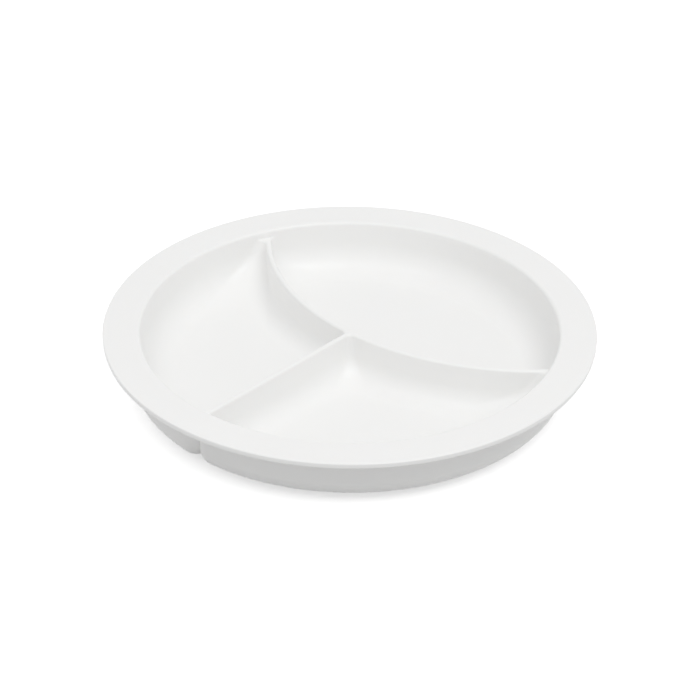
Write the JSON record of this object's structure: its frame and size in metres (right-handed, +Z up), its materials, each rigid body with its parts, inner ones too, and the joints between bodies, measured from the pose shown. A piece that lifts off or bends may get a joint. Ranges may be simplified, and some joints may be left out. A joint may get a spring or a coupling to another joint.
{
  "type": "divided suction plate",
  "caption": "Round one-piece silicone plate for a small child, with a flat rim, a main compartment behind a curved divider, two side compartments and a suction ring underneath",
  "frame": {"origin": "On the table, at the middle of the rim: the centre of the suction ring's foot", "axes": "X across the two side compartments, +Y towards the main compartment, +Z up out of the dish"},
  "size_m": [0.22, 0.22, 0.0293],
  "materials": {
    "silicone": "satin"
  },
  "bodies": {
    "root": {"plate": "silicone"}
  },
  "joints": []
}
